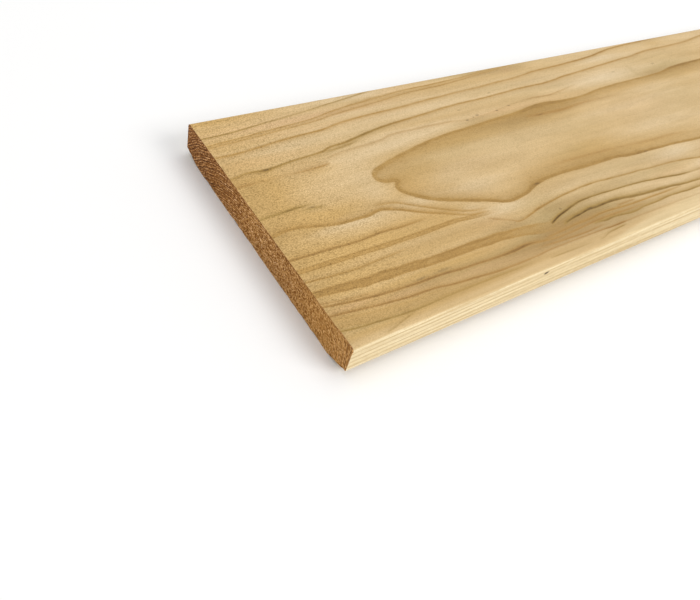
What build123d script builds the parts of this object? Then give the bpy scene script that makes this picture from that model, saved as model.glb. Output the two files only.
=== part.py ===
from build123d import *
import os

# Planed pine board, one piece of sawn and planed softwood.
# It lies flat on its underside. The origin is the middle of the underside,
# +X runs along the length (the shown sawn end is at -X), +Y across the width,
# and +Z up through the thickness. All sizes are in millimetres.

LENGTH = 1800.0      # a length that such boards are sold in
WIDTH = 145.0        # planed width across the face
THICKNESS = 18.0     # planed thickness
TOP_ARRIS = 1.5      # radius of the two long arrises of the top face, just eased
BEVEL_ACROSS = 13.0  # the long shallow bevel along each lower arris, across the width
BEVEL_UP = 3.6       # and up the edge

# The planed section, drawn in its own plane: x across the width, y up through
# the thickness. The planer leaves the same arrises along the whole length.
half, low, high = WIDTH / 2.0, -THICKNESS / 2.0, THICKNESS / 2.0
section = Polygon(
    (-half + BEVEL_ACROSS, low),
    (half - BEVEL_ACROSS, low),
    (half, low + BEVEL_UP),
    (half, high),
    (-half, high),
    (-half, low + BEVEL_UP),
    align=None,
)
section = fillet([v for v in section.vertices() if v.Y > high - 1e-6], radius=TOP_ARRIS)

# The section stands in the YZ plane at the -X end and is run along +X. Both
# ends are cross-cut square and keep the sharp edge of the saw cut.
end_plane = Plane(
    origin=(-LENGTH / 2.0, 0.0, THICKNESS / 2.0),
    x_dir=(0, 1, 0),
    z_dir=(1, 0, 0),
)
board = extrude(end_plane * section, amount=LENGTH)
board.label = "board"

box = board.bounding_box()
assert abs(box.size.X - LENGTH) < 1e-3
assert abs(box.size.Y - WIDTH) < 1e-3
assert abs(box.size.Z - THICKNESS) < 1e-3
assert abs(box.min.Z) < 1e-6
expected = LENGTH * (WIDTH * THICKNESS - BEVEL_ACROSS * BEVEL_UP - 2 * (1 - 3.14159265 / 4) * TOP_ARRIS**2)
assert abs(board.volume - expected) < 1.0

# The bevelled arrises belong to the underside, the eased ones to the top.
under = board.faces().sort_by(Axis.Z)[0]
assert abs(under.bounding_box().size.Y - (WIDTH - 2 * BEVEL_ACROSS)) < 1e-3

os.makedirs("parts", exist_ok=True)
export_step(board, "parts/board.step")
print("board", round(board.volume / 1e9, 6), "m3", box)
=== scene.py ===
import math

import bmesh
import bpy
import numpy as np
from mathutils import Matrix, Vector
from mathutils.geometry import delaunay_2d_cdt


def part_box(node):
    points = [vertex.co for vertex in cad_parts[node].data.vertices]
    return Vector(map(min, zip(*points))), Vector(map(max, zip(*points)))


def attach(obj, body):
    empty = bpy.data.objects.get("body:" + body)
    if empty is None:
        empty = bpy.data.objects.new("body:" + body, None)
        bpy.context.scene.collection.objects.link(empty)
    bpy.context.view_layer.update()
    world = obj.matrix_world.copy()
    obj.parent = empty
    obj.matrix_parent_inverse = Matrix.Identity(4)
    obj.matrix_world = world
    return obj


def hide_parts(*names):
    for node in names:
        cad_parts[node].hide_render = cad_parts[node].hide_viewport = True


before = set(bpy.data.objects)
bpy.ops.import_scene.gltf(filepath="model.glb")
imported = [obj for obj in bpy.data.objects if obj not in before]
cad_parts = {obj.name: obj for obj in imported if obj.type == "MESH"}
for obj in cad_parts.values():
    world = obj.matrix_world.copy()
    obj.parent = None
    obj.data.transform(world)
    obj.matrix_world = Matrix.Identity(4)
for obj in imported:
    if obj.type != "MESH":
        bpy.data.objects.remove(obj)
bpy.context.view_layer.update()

scene = bpy.context.scene
scene.view_settings.view_transform = "Standard"
scene.view_settings.look = "None"

# ---------------------------------------------------------------------------
# The board's own coordinates, in millimetres: u runs along the length from the
# shown sawn end, v across the face from the near long edge, z up from the
# underside and h down from the top face.
# ---------------------------------------------------------------------------
LOW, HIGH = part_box("board")
L = (HIGH.x - LOW.x) * 1000.0
W = (HIGH.y - LOW.y) * 1000.0
T = (HIGH.z - LOW.z) * 1000.0
R_TOP = 1.5                   # radius of the upper arrises
B_V, B_Z = 13.0, 3.6          # the bevel along the lower arrises, across and up


def to_row(u, v, z):
    """Board coordinates in mm to the row frame in metres."""
    return np.stack([u / 1000.0 + LOW.x, v / 1000.0 + LOW.y, z / 1000.0 + LOW.z], -1)


def to_figure(u, v):
    """Board coordinates to those of the drawing that the grain was laid out on, a flattened view
    that is a little longer and wider than the board."""
    w = 1.0 - 3.3308e-5 * u + 1.66999e-4 * v
    x = (1.069848 * u - 0.000861 * v - 0.15957) / w
    y = (-0.008629 * u + 1.045985 * v - 0.82312) / w
    return x, y


# ---------------------------------------------------------------------------
# Smooth curves through listed points
# ---------------------------------------------------------------------------
def pchip(points):
    """A smooth function through (x, y) points that never overshoots, held level past its ends."""
    p = np.array(points, float)
    x, y = p[:, 0], p[:, 1]
    if len(x) == 1:
        return lambda q: np.full(np.shape(q), y[0])
    h = np.diff(x)
    d = np.diff(y) / h
    m = np.zeros(len(x))
    m[0], m[-1] = d[0], d[-1]
    for i in range(1, len(x) - 1):
        if d[i - 1] * d[i] > 0:
            w1, w2 = 2 * h[i] + h[i - 1], h[i] + 2 * h[i - 1]
            m[i] = (w1 + w2) / (w1 / d[i - 1] + w2 / d[i])

    def f(q):
        q = np.clip(np.asarray(q, float), x[0], x[-1])
        i = np.clip(np.searchsorted(x, q) - 1, 0, len(h) - 1)
        t = (q - x[i]) / h[i]
        return (
            y[i] * (1 + 2 * t) * (1 - t) ** 2
            + m[i] * h[i] * t * (1 - t) ** 2
            + y[i + 1] * t * t * (3 - 2 * t)
            + m[i + 1] * h[i] * t * t * (t - 1)
        )

    return f


def smooth(lo, hi, q):
    t = np.clip((np.asarray(q, float) - lo) / (hi - lo), 0, 1)
    return t * t * (3 - 2 * t)


def wander(seed, n=5, base=260.0):
    """A small sum of sines along the length, for the way a growth ring wanders."""
    rng = np.random.default_rng(seed)
    a = rng.uniform(0.4, 1.0, n) / np.arange(1, n + 1)
    k = 2 * np.pi * np.arange(1, n + 1) * rng.uniform(0.8, 1.25, n) / (base * 3)
    f = rng.uniform(0, 2 * np.pi, n)
    return lambda q: (a * np.sin(np.multiply.outer(np.asarray(q, float), k) + f)).sum(-1)


def rounded(points, step=1.2):
    """A Catmull-Rom curve through the points, sampled finely."""
    p = np.array(points, float)
    p = np.vstack([2 * p[0] - p[1], p, 2 * p[-1] - p[-2]])
    out = []
    for i in range(1, len(p) - 2):
        a, b, c, d = p[i - 1], p[i], p[i + 1], p[i + 2]
        ta = max(np.linalg.norm(b - a) ** 0.5, 1e-6)
        tb = max(np.linalg.norm(c - b) ** 0.5, 1e-6)
        tc = max(np.linalg.norm(d - c) ** 0.5, 1e-6)
        m1 = tb * ((b - a) / ta - (c - a) / (ta + tb) + (c - b) / tb)
        m2 = tb * ((c - b) / tb - (d - b) / (tb + tc) + (d - c) / tc)
        n = max(2, int(np.ceil(np.linalg.norm(c - b) / step)))
        t = np.linspace(0, 1, n, endpoint=False)[:, None]
        out.append(
            b * (1 + 2 * t) * (1 - t) ** 2
            + m1 * t * (1 - t) ** 2
            + c * t * t * (3 - 2 * t)
            + m2 * t * t * (t - 1)
        )
    out.append(p[-2][None])
    return np.vstack(out)


def distance_to(line, q, reach=60.0):
    """Least distance from each point of q to a polyline, looked for near each point only."""
    a, b = line[:-1], line[1:]
    order = np.argsort(q[:, 0])
    qs = q[order]
    got = np.full(len(q), reach)
    lo, hi = np.minimum(a[:, 0], b[:, 0]), np.maximum(a[:, 0], b[:, 0])
    ab = b - a
    ll = (ab * ab).sum(1) + 1e-12
    for k in range(len(a)):
        i = np.searchsorted(qs[:, 0], lo[k] - reach)
        j = np.searchsorted(qs[:, 0], hi[k] + reach)
        if j <= i:
            continue
        w = qs[i:j] - a[k]
        t = np.clip((w @ ab[k]) / ll[k], 0, 1)
        e = w - t[:, None] * ab[k]
        got[i:j] = np.minimum(got[i:j], np.sqrt((e * e).sum(1)))
    best = np.empty(len(q))
    best[order] = got
    return best


def inside(poly, q):
    """Even-odd test of points q against a closed polygon."""
    x, y = q[:, 0], q[:, 1]
    res = np.zeros(len(q), bool)
    x1, y1 = poly[-1]
    for x2, y2 in poly:
        c = (y1 > y) != (y2 > y)
        if c.any():
            xi = (x2 - x1) * (y - y1) / (y2 - y1 + 1e-12) + x1
            res ^= c & (x < xi)
        x1, y1 = x2, y2
    return res


def hash_noise(p, seed=0):
    """Value noise at 3-D points, from -1 to 1, the same on each run."""
    p = np.asarray(p, float)
    i = np.floor(p).astype(np.int64)
    f = p - i
    f = f * f * (3 - 2 * f)

    def at(dx, dy, dz):
        n = (i[:, 0] + dx) * 73856093 ^ (i[:, 1] + dy) * 19349663 ^ (i[:, 2] + dz) * 83492791 ^ (seed * 2654435761)
        n = (n ^ (n >> 13)) * 1274126177
        n = n ^ (n >> 16)
        return (n & 0xFFFF) / 32767.5 - 1.0

    out = 0
    for dx in (0, 1):
        for dy in (0, 1):
            for dz in (0, 1):
                w = (f[:, 0] if dx else 1 - f[:, 0]) * (f[:, 1] if dy else 1 - f[:, 1]) * (f[:, 2] if dz else 1 - f[:, 2])
                out = out + w * at(dx, dy, dz)
    return out


# ---------------------------------------------------------------------------
# The figure of the top face, drawn as strokes. Each stroke follows one line of
# latewood: its course, its width in mm and its darkness from 0 to 1 along x.
# Outwards, away from the middle of the face, is +1 on the far half and -1 on
# the near half: the sharp side of a latewood band faces outwards.
# ---------------------------------------------------------------------------
END = 2060.0
STROKES = [
    # far half
    ("A", "olive", "line", 1,
     [(-12, 134.0), (0, 134.3), (14, 134.7), (28, 136), (42, 137.5), (63, 139.6), (78, 141.6), (99, 144.2), (112, 146.2), (140, 151), (400, 172), (END, 190)],
     [(0, 0.8)], [(-12, 0.40), (3, 0.50), (30, 0.46), (45, 0.32), (70, 0.30), (80, 0.40), (100, 0.44), (112, 0.34)]),
    ("B", "gold", "double", 1,
     [(-12, 127.4), (0, 128.0), (28, 129.7), (42, 130.6), (63, 132.0), (78, 134.3), (106, 137.3), (120, 138.6), (140, 140.1), (155, 140.2), (180, 141.5), (200, 143.2), (215, 144.5), (240, 147.2), (400, 160), (END, 175)],
     [(0, 2.0), (42, 2.4), (63, 2.6), (78, 3.0), (106, 4.0), (120, 3.3), (140, 3.0), (155, 2.9), (180, 2.4), (200, 1.9)],
     [(0, 0.44), (63, 0.42), (106, 0.36), (130, 0.36), (148, 0.46), (160, 0.50), (180, 0.42), (200, 0.36)]),
    ("C", "gold", "line", 1,
     [(-12, 119.9), (0, 120), (7, 119.8), (28, 121.3), (42, 122.7), (63, 123.6), (78, 125.9), (92, 127.1), (100, 127.4), (120, 128), (140, 129.3), (155, 129.9), (170, 130.7), (183, 130.9), (200, 131.8), (220, 132.6), (232, 133.8), (243, 135.1), (260, 135.8), (278, 136.6), (295, 137.5), (312, 139.2), (324, 141.2), (335, 142.6), (353, 143.6), (372, 144.2), (420, 147), (600, 155), (END, 175)],
     [(0, 1.7), (100, 1.5), (230, 1.4), (280, 1.6), (340, 1.4)],
     [(0, 0.42), (60, 0.44), (100, 0.40), (183, 0.38), (230, 0.40), (277, 0.50), (312, 0.58), (335, 0.52), (360, 0.46)]),
    ("D", [(0, 0.8), (26, 0.9), (60, 0.8), (90, 0.95), (115, 0.6), (400, 0.5)], "line", 1,
     [(-12, 103.4), (0, 104.5), (10, 106), (20, 105.3), (35, 107), (55, 108.5), (62, 110.6), (70, 111), (78, 112.4), (92, 115), (100, 116.2), (120, 117.8), (140, 119.3), (150, 120.2), (167, 120.9), (183, 121), (200, 121.75), (217, 122.6), (230, 122.6), (237, 122.5), (252, 123.4), (266, 125.1), (280, 126), (300, 127.4), (320, 128.8), (335, 129.9), (347, 130.5), (358, 132), (373, 133.2), (400, 133.5), (425, 134.4), (449, 137.2), (480, 139.5), (600, 143), (900, 147), (END, 156)],
     [(0, 1.5), (20, 1.6), (40, 1.2), (60, 1.5), (80, 1.6), (95, 1.6), (230, 1.5), (260, 1.5), (400, 1.6)],
     [(0, 0.38), (13, 0.44), (20, 0.80), (24, 0.56), (40, 0.44), (60, 0.48), (78, 0.56), (98, 0.55), (116, 0.46), (150, 0.42), (200, 0.44), (230, 0.44), (260, 0.44), (300, 0.44), (340, 0.42), (400, 0.40)]),
    ("D2", "olive", "soft", 1, [(55, 107.6), (62, 108), (75, 109.5), (82, 111)], [(0, 1.0)], [(55, 0), (62, 0.34), (72, 0.34), (82, 0)]),
    ("E", "gold", "plateau", 1, [(-12, 101), (0, 101.3), (20, 101.8), (40, 101.5), (48, 100.7), (55, 100.2)], [(0, 6.4), (40, 6.4), (46, 5.2), (51, 3.0), (55, 1.2)], [(-12, 0.14), (30, 0.10), (45, 0.18), (51, 0.16), (55, 0)]),
    ("Er", "brown", "line", -1, [(-12, 98.2), (5, 98.5), (20, 98.3), (36, 98.5), (50, 98.9), (55, 99.9)], [(0, 1.3)], [(-12, 0.38), (6, 0.32), (13, 0.12), (26, 0.08), (36, 0.22), (50, 0.30), (54, 0.16), (56, 0)]),
    ("E2", "brown", "line", 1,
     [(50, 102.4), (64, 105), (92, 107), (100, 108.9), (110, 109.3), (133, 108.8), (145, 108.4), (157, 106.8), (170, 107.2), (184, 108.5), (196, 110.2), (220, 112), (235, 111.2), (248, 112.6), (258, 114.1), (300, 118)],
     [(0, 1.3)], [(50, 0), (58, 0.16), (92, 0.2), (105, 0.24), (142, 0.24), (152, 0.12), (165, 0.10), (184, 0.12), (210, 0.1), (224, 0.3), (240, 0.26), (256, 0.16), (268, 0)]),
    ("TU", "brown", "soft", 1, [(198, 97.6), (215, 97), (231, 96.4), (245, 97), (257, 98), (285, 97.6), (305, 98)], [(0, 1.7)], [(198, 0), (208, 0.36), (232, 0.4), (252, 0.28), (285, 0.12), (305, 0)]),
    ("X1", "olive", "line", 1, [(470, 123), (560, 126.5), (700, 129.5), (1000, 133), (1400, 131), (1700, 134), (END, 133)], [(0, 1.3)], [(480, 0), (600, 0.5), (900, 0.55), (END, 0.5)]),
    ("X2", "gold", "line", 1, [(760, 127), (900, 138), (1200, 140), (1500, 138.5), (END, 141)], [(0, 1.5)], [(820, 0), (960, 0.42), (END, 0.46)]),
    # near half
    ("N", "olive", "line", -1, [(-12, 76.2), (0, 76.5), (10, 77), (22, 77.6), (40, 76.8)], [(0, 1.3)], [(-12, 0.34), (2, 0.36), (10, 0.46), (20, 0.56), (25, 0.30), (33, 0.1), (38, 0)]),
    ("Ns", "olive", "soft", -1, [(20, 75.4), (28, 75), (36, 74.4)], [(0, 1.6)], [(21, 0), (26, 0.36), (31, 0.36), (36, 0)]),
    ("F", "gold", "late", -1,
     [(-12, 63.6), (0, 65.2), (10, 66.5), (21, 64.6), (32, 62), (42, 61.2), (50, 61.2), (60, 62.3), (63, 61.5), (68, 59.8), (78, 54.5), (85, 51), (92, 48.2), (100, 44.6), (107, 42.7), (120, 42)],
     [(0, 2.2), (60, 2.2), (80, 1.8), (112, 1.6)], [(-12, 0.46), (10, 0.48), (25, 0.50), (40, 0.48), (60, 0.50), (78, 0.46), (92, 0.42), (101, 0.38), (111, 0.28), (118, 0)]),
    ("F2", "gold", "late", -1, [(56, 66.2), (63, 65.5), (70, 64), (78, 59.5), (85, 55.5), (92, 51.5), (103, 46.5), (110, 44.5), (120, 43.6)], [(0, 1.5)], [(57, 0), (64, 0.3), (78, 0.36), (92, 0.4), (103, 0.34), (112, 0.22), (119, 0)]),
    ("Fs", "brown", "line", -1, [(111, 38.2), (117, 35.2), (123, 32.5), (129, 29.6), (134, 29.3)], [(0, 0.8)], [(111, 0), (116, 0.34), (122, 0.22), (127, 0.32), (133, 0)]),
    ("FR", [(125, 0.4), (200, 0.7), (400, 0.5)], "line", -1,
     [(125, 29.3), (132, 29.8), (140, 31.3), (147, 33), (153, 33.8), (162, 34.9), (170, 35.8), (178, 36.3), (188, 36.8), (200, 37), (208, 36.3), (220, 35.4), (230, 34.8), (240, 34.5), (252, 33.3), (262, 33), (273, 32.2), (282, 31.2), (290, 30.2), (298, 28.9), (315, 27.2), (340, 25.5), (400, 22.5), (520, 19), (760, 16), (1100, 18), (1450, 14), (END, 12)],
     [(0, 1.3), (300, 1.2)], [(125, 0), (130, 0.25), (140, 0.56), (147, 0.62), (154, 0.5), (170, 0.44), (200, 0.46), (220, 0.38), (262, 0.36), (285, 0.44), (300, 0.46), (END, 0.46)]),
    ("G", [(0, 0.3)], "line", -1, [(-12, 50.6), (0, 50.3), (17, 49.8), (38, 49), (52, 49.9), (63, 49.3), (75, 49.4), (88, 49.6)], [(0, 1.35)], [(-12, 0.52), (0, 0.58), (40, 0.58), (60, 0.54), (72, 0.4), (80, 0.15), (86, 0)]),
    ("H", "gold", "plateau", -1, [(-12, 43.6), (0, 43.3), (28, 42.6), (63, 42), (92, 42.6), (110, 41), (128, 40.2)], [(0, 2.3)], [(-12, 0.46), (28, 0.54), (63, 0.50), (92, 0.50), (108, 0.38), (120, 0.12), (127, 0)]),
    ("I", "gold", "line", -1, [(-12, 37.6), (0, 37), (14, 35.8), (28, 35.2), (40, 35.7), (48, 36), (62, 36.8)], [(0, 1.1)], [(-12, 0.44), (0, 0.48), (30, 0.4), (48, 0.3), (56, 0.1), (61, 0)]),
    ("J", [(0, 0.45), (90, 0.5), (150, 0.6)], "plateau", -1, [(-12, 30.6), (0, 29.85), (14, 28.6), (28, 27.25), (42, 26.85), (56, 26.15), (70, 25.7), (92, 25.25), (108, 25.0), (120, 23.9), (139, 21), (158, 18.5)],
     [(0, 3.4), (14, 3.8), (28, 4.3), (108, 4.8), (120, 5.2), (139, 6.4), (150, 5.6)], [(-12, 0.66), (14, 0.66), (40, 0.60), (60, 0.60), (108, 0.58), (125, 0.48), (139, 0.32), (148, 0.16), (157, 0)]),
    ("K", [(0, 0.15), (90, 0.1), (125, 0.25)], "line", -1, [(-12, 24.2), (0, 22.9), (7, 21.5), (14, 20.5), (28, 18.7), (49, 17.3), (61, 17.1), (75, 15.9), (92, 15), (109, 14.4), (116, 14.9), (120, 15.05), (126, 14.6), (132, 13.7), (138, 12.8), (150, 11.8)],
     [(0, 1.2), (60, 1.4), (90, 1.3), (112, 1.7), (122, 1.7), (135, 1.3)], [(-12, 0.56), (20, 0.58), (45, 0.56), (60, 0.64), (76, 0.54), (90, 0.50), (105, 0.60), (112, 0.80), (120, 0.82), (125, 0.6), (131, 0.48), (138, 0.34), (147, 0)]),
    ("Ku", "brown", "line", -1, [(-12, 26.2), (0, 24.5), (14, 22.2), (30, 20.4)], [(0, 0.8)], [(-12, 0.3), (20, 0.26), (30, 0)]),
    ("L", "brown", "line", -1, [(-12, 18.9), (0, 17.4), (14, 15.6), (28, 13.7), (42, 12.2), (56, 11.5), (66, 10), (78, 8.9), (92, 7.5), (105, 7.1), (120, 7.1), (130, 7.6), (145, 7.5), (160, 7.2), (173, 6.8), (183, 6.3), (195, 6.3), (240, 5.6), (300, 4), (420, 1)],
     [(0, 1.25), (100, 1.1), (180, 0.9)], [(-12, 0.5), (30, 0.5), (60, 0.5), (92, 0.46), (120, 0.36), (150, 0.32), (172, 0.38), (180, 0.6), (190, 0.62), (196, 0.3), (215, 0.2), (300, 0.12), (400, 0)]),
    ("LM", "gold", "plateau", -1, [(-12, 14.6), (0, 13.3), (20, 10), (42, 8.6), (70, 7.6), (100, 6)], [(0, 5.2), (40, 4.4), (90, 3)], [(-12, 0.24), (45, 0.22), (70, 0.14), (95, 0)]),
    ("M", "olive", "line", -1, [(-12, 10.2), (0, 9.2), (7, 8), (21, 6.7), (31, 5.7), (42, 5.3), (56, 5.5), (75, 5.4), (92, 5.2), (118, 4.4)], [(0, 1.0)], [(-12, 0.46), (30, 0.42), (60, 0.32), (92, 0.3), (108, 0.15), (117, 0)]),
    ("Md", "olive", "line", -1, [(16, 0.2), (21, 1), (35, 4), (40, 4.6)], [(0, 0.9)], [(17, 0), (22, 0.26), (33, 0.24), (39, 0)]),
    ("J1", "olive", "line", -1,
     [(144, 20.8), (147, 21.7), (150, 22.8), (158, 24.9), (162, 25.7), (170, 27.4), (178, 28.5), (188, 28.7), (200, 28.2), (215, 27.6), (227, 26.8), (235, 26.2), (243, 25.1), (252, 24.1), (262, 22.6), (269, 21.6), (278, 21.1), (290, 20.8), (330, 18.5), (400, 15.5), (520, 12.5), (760, 10), (1100, 12), (1450, 8), (END, 6)],
     [(0, 1.2), (165, 1.3), (200, 1.1), (250, 1.2)], [(144.5, 0), (147, 0.72), (152, 0.98), (160, 0.96), (168, 0.76), (180, 0.64), (200, 0.54), (225, 0.46), (243, 0.56), (262, 0.64), (270, 0.5), (282, 0.26), (310, 0.3), (400, 0.5), (END, 0.5)]),
    ("J2", "olive", "late", -1,
     [(151, 17.6), (155, 18.7), (162, 19.9), (170, 20.6), (178, 21.5), (184, 21.2), (190, 21.3), (198, 21.2), (207, 20.5), (215, 19.1), (227, 18), (237, 17.2), (243, 16.8), (252, 16.2), (260, 14.9), (273, 14.1), (290, 13), (330, 11), (400, 8.5), (520, 6.5), (760, 4), (1100, 6), (1450, 2.5), (END, 1)],
     [(0, 1.3), (165, 1.5), (198, 1.6), (210, 1.9), (235, 1.9), (255, 1.4), (END, 1.3)], [(152, 0), (156, 0.55), (162, 0.78), (172, 0.88), (184, 0.84), (198, 0.78), (207, 0.64), (230, 0.58), (252, 0.6), (275, 0.5), (300, 0.36), (400, 0.42), (END, 0.46)]),
    ("J3", [(138, 0.2), (180, 0.5)], "line", -1, [(130, 14.3), (138, 14.8), (150, 15.3), (162, 15.9), (172, 15.8), (183, 16.6), (192, 16.2), (204, 15.3), (215, 14.9), (240, 14.5), (262, 14.2)], [(0, 1.3)], [(132, 0), (140, 0.40), (160, 0.52), (183, 0.58), (205, 0.5), (240, 0.44), (252, 0.3), (262, 0)]),
    ("J4", "brown", "line", -1, [(196, 17.4), (213, 17.4), (218, 17.2)], [(0, 1.0)], [(197, 0), (201, 0.36), (211, 0.36), (217, 0)]),
    ("K3", "olive", "late", -1, [(169, 12.1), (177, 12), (183, 11.2), (188, 11.6), (196, 10.8), (203, 9.8), (207, 9.75), (217, 10.5), (227, 10.3), (242, 10.7), (252, 10.3), (262, 9.5), (272, 9.4), (300, 8), (400, 4.5), (600, 1.5), (END, -4)],
     [(0, 1.3)], [(170, 0), (176, 0.46), (186, 0.6), (196, 0.56), (210, 0.46), (240, 0.5), (262, 0.5), (290, 0.36), (400, 0.4)]),
    ("L3", "brown", "line", -1, [(122, 11.2), (132, 10.6), (147, 9.75), (163, 9.1), (172, 9.4), (184, 9)], [(0, 1.1)], [(124, 0), (134, 0.36), (147, 0.42), (163, 0.42), (174, 0.26), (182, 0)]),
    ("K4", "brown", "line", -1, [(136, 12.6), (150, 12.4), (164, 12.9), (176, 13.4), (190, 13.2), (204, 12.6), (224, 12.4)], [(0, 1.1)], [(138, 0), (146, 0.34), (160, 0.44), (176, 0.46), (190, 0.40), (206, 0.30), (220, 0)]),
    ("M3", "olive", "line", -1, [(163, 2), (170, 2.4), (175, 3.7), (182, 4.2), (189, 4.5), (196, 4.7)], [(0, 0.85)], [(164, 0), (169, 0.20), (176, 0.30), (188, 0.44), (193, 0)]),
    ("M4", "olive", "line", -1, [(124, 3.3), (140, 2.8), (164, 2.3)], [(0, 0.8)], [(125, 0), (132, 0.3), (150, 0.22), (163, 0)]),
    ("T2", "brown", "soft", -1, [(180, 57.6), (200, 57.2), (225, 56.5), (250, 55), (272, 53.3), (295, 52.5), (325, 50.2)], [(0, 1.5)], [(182, 0), (195, 0.2), (225, 0.24), (250, 0.14), (272, 0.24), (295, 0.24), (320, 0)]),
]

# The tongue in the middle: its outline from the far side, round the two-lobed tip, to the near side
VC = 78.0
TONGUE_FAR = [(70.6, 83.6), (72.2, 86.4), (77.5, 89.2), (86, 91.4), (100, 94.6), (110, 96.6), (120, 98.2), (135, 99.9), (150, 100.8), (163, 101.6), (175, 102.4), (190, 103), (200, 103.7), (212, 105.2), (222, 105.7), (235, 104.7), (250, 103.8), (262, 104.1), (278, 106), (295, 106.9), (315, 107.4), (347, 107.9), (362, 109), (372, 110.7), (385, 111.6), (400, 111.9), (450, 112.5), (520, 113.5), (760, 116), (1100, 115), (1400, 118.5), (END, 120)]
TONGUE_NEAR = [(70.6, 83.6), (71.2, 80.6), (74.6, 78.2), (81.0, 76.9), (78.6, 74.6), (77.9, 71.4), (80.2, 67.6), (85, 63.2), (92, 58.9), (100, 55.2), (108, 52.4), (117, 49.1), (125, 46.2), (130, 43.9), (136, 42.8), (142, 43.2), (150, 44.5), (158, 47.2), (163, 48.3), (170, 49.3), (183, 49.8), (200, 49.2), (215, 48.8), (230, 48.7), (237, 48.2), (243, 47), (252, 46.3), (262, 45.9), (273, 45.3), (290, 44.7), (307, 43), (320, 42.2), (345, 41.3), (395, 40), (520, 38), (760, 35), (1100, 38), (1400, 34), (END, 32)]
T_FAR = rounded(TONGUE_FAR)
T_NEAR = rounded(TONGUE_NEAR)
# width of its soft inner band and its darkness, on the far and the near side
T_WIDTH = (pchip([(70, 9), (100, 8), (120, 6), (190, 6), (205, 8.5), (220, 9.5), (235, 8), (262, 5), (350, 5), (400, 5.5), (END, 6)]),
           pchip([(70, 9), (100, 7), (125, 5.5), (150, 6), (170, 7.5), (200, 7.5), (232, 6), (262, 5), (300, 5), (END, 6)]))
T_DARK = (pchip([(70, 0.44), (100, 0.42), (120, 0.48), (150, 0.46), (190, 0.48), (215, 0.58), (235, 0.56), (262, 0.42), (340, 0.44), (360, 0.52), (385, 0.68), (420, 0.6), (600, 0.5), (END, 0.55)]),
          pchip([(70, 0.44), (100, 0.50), (120, 0.58), (135, 0.58), (150, 0.52), (161, 0.64), (170, 0.48), (200, 0.48), (230, 0.56), (262, 0.62), (290, 0.5), (END, 0.5)]))


def nested_tongue(tip, grow, half, seed, skew):
    """The outline of a ring that comes up further along inside the tongue: it opens slowly from its tip."""
    w1, w2 = wander(seed), wander(seed + 50)
    u = np.concatenate([tip + 0.5 * np.linspace(0, 1, 30) ** 2 * 120, np.linspace(tip + 66, END + 20, 260)])
    s = u - tip
    k = half * (1 - np.exp(-((s / grow) ** 0.62)))
    env = smooth(0, 160, s)
    up = VC + skew * smooth(0, 300, s) + k * 1.02 + env * 1.7 * w1(u)
    dn = VC + skew * smooth(0, 300, s) - k * 0.98 + env * 1.7 * w2(u)
    return np.stack([u, up], 1), np.stack([u, dn], 1)


NESTED = {
    "R1": nested_tongue(590.0, 210.0, 32.0, 11, 1.5),
    "R2": nested_tongue(880.0, 230.0, 28.0, 12, -2.0),
    "R3": nested_tongue(1210.0, 260.0, 25.0, 13, 1.0),
    "R4": nested_tongue(1590.0, 260.0, 22.0, 14, -1.0),
}


def tongue_distance(far, near, q):
    """Signed distance to a tongue's outline, below 0 inside it."""
    line = np.vstack([near[::-1], far[1:]])
    d = distance_to(line, q)
    poly = np.vstack([line, [[END + 90, far[-1, 1]], [END + 90, near[-1, 1]]]])
    return np.where(inside(poly, q), -d, d)


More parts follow.
